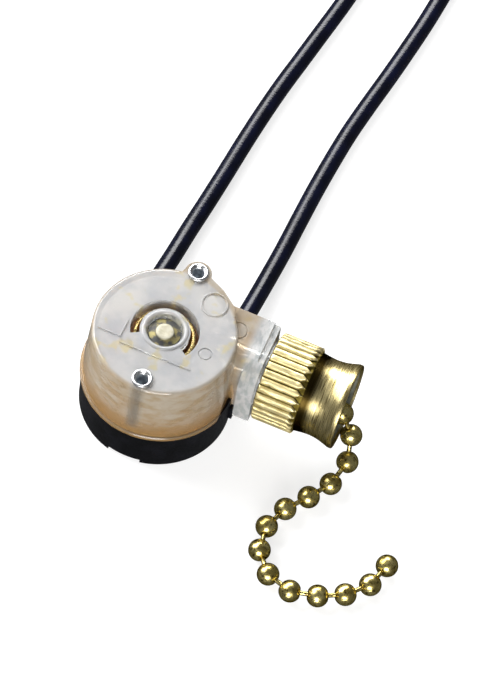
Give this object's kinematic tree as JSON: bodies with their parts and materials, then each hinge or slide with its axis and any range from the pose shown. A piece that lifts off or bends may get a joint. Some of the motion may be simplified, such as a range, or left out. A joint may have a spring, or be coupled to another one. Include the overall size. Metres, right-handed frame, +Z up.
{
  "type": "pull cord switch",
  "caption": "Round riveted pull cord switch with a clear cover over a black base, a threaded side neck with a knurled bell nut, a ball chain and two insulated leads.",
  "frame": {"origin": "on the spindle's axis, in the plane of the base's flat bottom face", "axes": "+X along the neck towards the bell nut, +Y towards the two leads, +Z up from the base to the clear cover's face"},
  "size_m": [0.0786, 0.1347, 0.0195],
  "materials": {
    "clear_plastic": "clear moulded polycarbonate, amber where light passes along the wall",
    "black_plastic": "satin moulded phenolic",
    "nickel": "plated, rolled over",
    "spindle_brass": "turned, pale",
    "nut_brass": "knurled and lathe turned",
    "chain_brass": "polished and slightly aged",
    "contact_brass": "stamped",
    "brown_plastic": "moulded phenolic",
    "grey_plastic": "moulded",
    "fibre": "pressed fibre sheet",
    "insulation": "smooth extruded sleeve",
    "copper": "bare stranded copper",
    "spring_steel": "drawn wire"
  },
  "bodies": {
    "housing": {"clear_cover": "clear_plastic", "black_base": "black_plastic", "spindle": "spindle_brass", "front_rivet": "nickel", "ear_rivet": "nickel", "insulator_plate": "fibre", "return_spring": "contact_brass", "rotor_spring": "spring_steel", "left_contact": "contact_brass", "right_contact": "contact_brass", "left_lead": "insulation", "left_lead_bend": "insulation", "left_conductor": "copper", "right_lead": "insulation", "right_lead_bend": "insulation", "right_conductor": "copper"},
    "drum": {"pull_drum": "brown_plastic", "drum_chain": "chain_brass"},
    "rotor": {"ratchet_rotor": "grey_plastic", "contact_bridge": "contact_brass"},
    "nut": {"bell_nut": "nut_brass"},
    "pull_chain": {"neck_chain": "chain_brass"},
    "ball_01": {"chain_ball_01": "chain_brass"},
    "ball_02": {"chain_ball_02": "chain_brass"},
    "ball_03": {"chain_ball_03": "chain_brass"},
    "ball_04": {"chain_ball_04": "chain_brass"},
    "ball_05": {"chain_ball_05": "chain_brass"},
    "ball_06": {"chain_ball_06": "chain_brass"},
    "ball_07": {"chain_ball_07": "chain_brass"},
    "ball_08": {"chain_ball_08": "chain_brass"},
    "ball_09": {"chain_ball_09": "chain_brass"},
    "ball_10": {"chain_ball_10": "chain_brass"},
    "ball_11": {"chain_ball_11": "chain_brass"},
    "ball_12": {"chain_ball_12": "chain_brass"},
    "ball_13": {"chain_ball_13": "chain_brass"}
  },
  "joints": [
    {"name": "chain_pull", "type": "slide", "parent": "housing", "child": "pull_chain", "axis": [1, 0, 0], "range_m": [0, 0.007], "stiffness_N_per_m": 800},
    {"name": "drum_turn", "type": "hinge", "parent": "housing", "child": "drum", "pos_m": [0, 0, 0.0116], "axis": [0, 0, 1], "range_deg": [-106, 0]},
    {"name": "rotor_step", "type": "hinge", "parent": "housing", "child": "rotor", "pos_m": [0, 0, 0.006], "axis": [0, 0, 1], "continuous": true},
    {"name": "nut_turn", "type": "hinge", "parent": "housing", "child": "nut", "pos_m": [0.0146, 0.0038, 0.0116], "axis": [1, 0, 0], "continuous": true},
    {"name": "ball_01_swing", "type": "hinge", "parent": "pull_chain", "child": "ball_01", "pos_m": [0.02704, 0.00377, 0.00771], "axis": [-0.4067, -0.9135, 0], "range_deg": [0, 30]},
    {"name": "ball_02_swing", "type": "hinge", "parent": "ball_01", "child": "ball_02", "pos_m": [0.02866, 0.00214, 0.00476], "axis": [-0.9563, -0.2924, 0], "range_deg": [0, 30]},
    {"name": "ball_03_swing", "type": "hinge", "parent": "ball_02", "child": "ball_03", "pos_m": [0.02882, -0.00089, 0.00257], "axis": [0, 0, -1], "range_deg": [-30, 5]},
    {"name": "ball_04_swing", "type": "hinge", "parent": "ball_03", "child": "ball_04", "pos_m": [0.02742, -0.0043, 0.00163], "axis": [0, 0, 1], "range_deg": [-22, 30]},
    {"name": "ball_05_swing", "type": "hinge", "parent": "ball_04", "child": "ball_05", "pos_m": [0.02527, -0.00755, 0.00163], "axis": [0, 0, -1], "range_deg": [-30, 30]},
    {"name": "ball_06_swing", "type": "hinge", "parent": "ball_05", "child": "ball_06", "pos_m": [0.02334, -0.01089, 0.00163], "axis": [0, 0, 1], "range_deg": [-30, 22]},
    {"name": "ball_07_swing", "type": "hinge", "parent": "ball_06", "child": "ball_07", "pos_m": [0.02269, -0.01464, 0.00163], "axis": [0, 0, -1], "range_deg": [-11, 30]},
    {"name": "ball_08_swing", "type": "hinge", "parent": "ball_07", "child": "ball_08", "pos_m": [0.02393, -0.01817, 0.00163], "axis": [0, 0, 1], "range_deg": [-30, 5]},
    {"name": "ball_09_swing", "type": "hinge", "parent": "ball_08", "child": "ball_09", "pos_m": [0.0269, -0.02046, 0.00163], "axis": [0, 0, -1], "range_deg": [-5, 30]},
    {"name": "ball_10_swing", "type": "hinge", "parent": "ball_09", "child": "ball_10", "pos_m": [0.03065, -0.02082, 0.00163], "axis": [0, 0, 1], "range_deg": [-30, 7]},
    {"name": "ball_11_swing", "type": "hinge", "parent": "ball_10", "child": "ball_11", "pos_m": [0.03431, -0.01954, 0.00163], "axis": [0, 0, -1], "range_deg": [-24, 30]},
    {"name": "ball_12_swing", "type": "hinge", "parent": "ball_11", "child": "ball_12", "pos_m": [0.03743, -0.0173, 0.00163], "axis": [0, 0, 1], "range_deg": [-30, 18]},
    {"name": "ball_13_swing", "type": "hinge", "parent": "ball_12", "child": "ball_13", "pos_m": [0.03946, -0.01408, 0.00163], "axis": [0, 0, -1], "range_deg": [-12, 30]}
  ],
  "couplings": [
    {"joint": "drum_turn", "follows": "chain_pull", "rad_per_m": -263.16}
  ]
}
